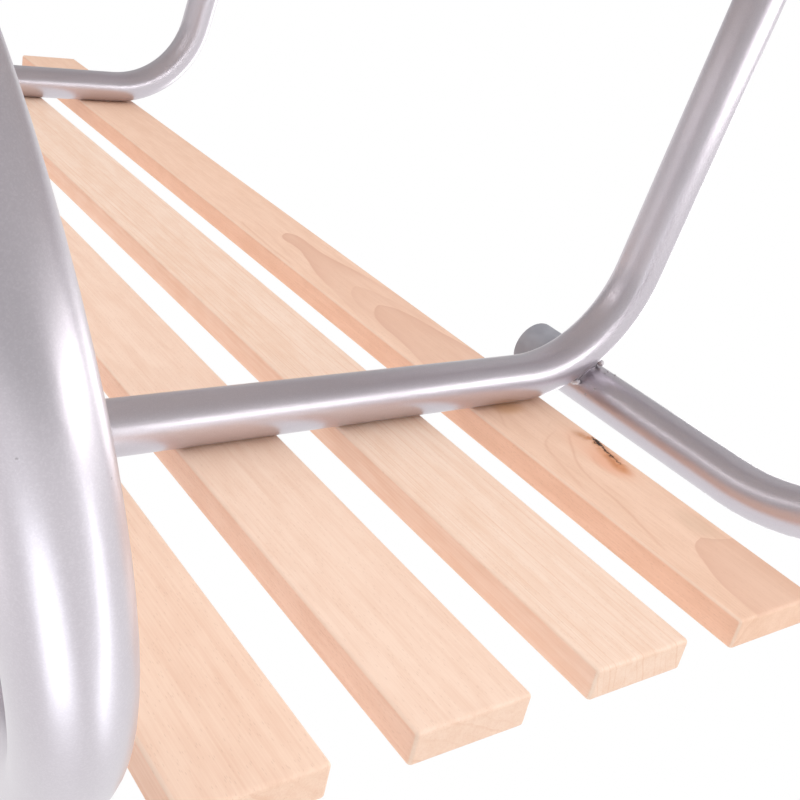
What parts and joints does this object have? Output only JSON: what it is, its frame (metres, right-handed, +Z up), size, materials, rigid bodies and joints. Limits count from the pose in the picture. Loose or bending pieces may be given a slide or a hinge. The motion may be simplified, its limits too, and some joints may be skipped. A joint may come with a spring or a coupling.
{
  "type": "metal sled",
  "caption": "Child's sled of bent silver-lacquered steel tube with looped leaning runners and a flat seat of lengthwise beech slats.",
  "frame": {"origin": "on the ground under the middle of the sled's outline", "axes": "+Y the way it travels, +Z up, +X to the right seen from behind"},
  "size_m": [0.3948, 0.7811, 0.2181],
  "materials": {
    "tube_lacquer": "glossy metallic-flake silver lacquer",
    "slat_wood": "clear satin lacquer on beech",
    "cap_plastic": "matt blue-grey",
    "weld_bead": "silver lacquer over rough bead",
    "screw_zinc": "bright zinc"
  },
  "bodies": {
    "root": {"arch_front": "tube_lacquer", "arch_rear": "tube_lacquer", "side_left": "tube_lacquer", "side_right": "tube_lacquer", "slat_left_outer": "slat_wood", "slat_left_inner": "slat_wood", "slat_right_inner": "slat_wood", "slat_right_outer": "slat_wood", "cap_rail_left": "cap_plastic", "cap_rail_right": "cap_plastic", "cap_runner_left": "cap_plastic", "cap_runner_right": "cap_plastic", "weld_front_left": "weld_bead", "weld_front_right": "weld_bead", "weld_rear_left": "weld_bead", "weld_rear_right": "weld_bead", "weld_rail_left": "weld_bead", "weld_rail_right": "weld_bead", "screw_front_1": "screw_zinc", "screw_front_2": "screw_zinc", "screw_front_3": "screw_zinc", "screw_front_4": "screw_zinc", "screw_rear_1": "screw_zinc", "screw_rear_2": "screw_zinc", "screw_rear_3": "screw_zinc", "screw_rear_4": "screw_zinc"}
  },
  "joints": []
}
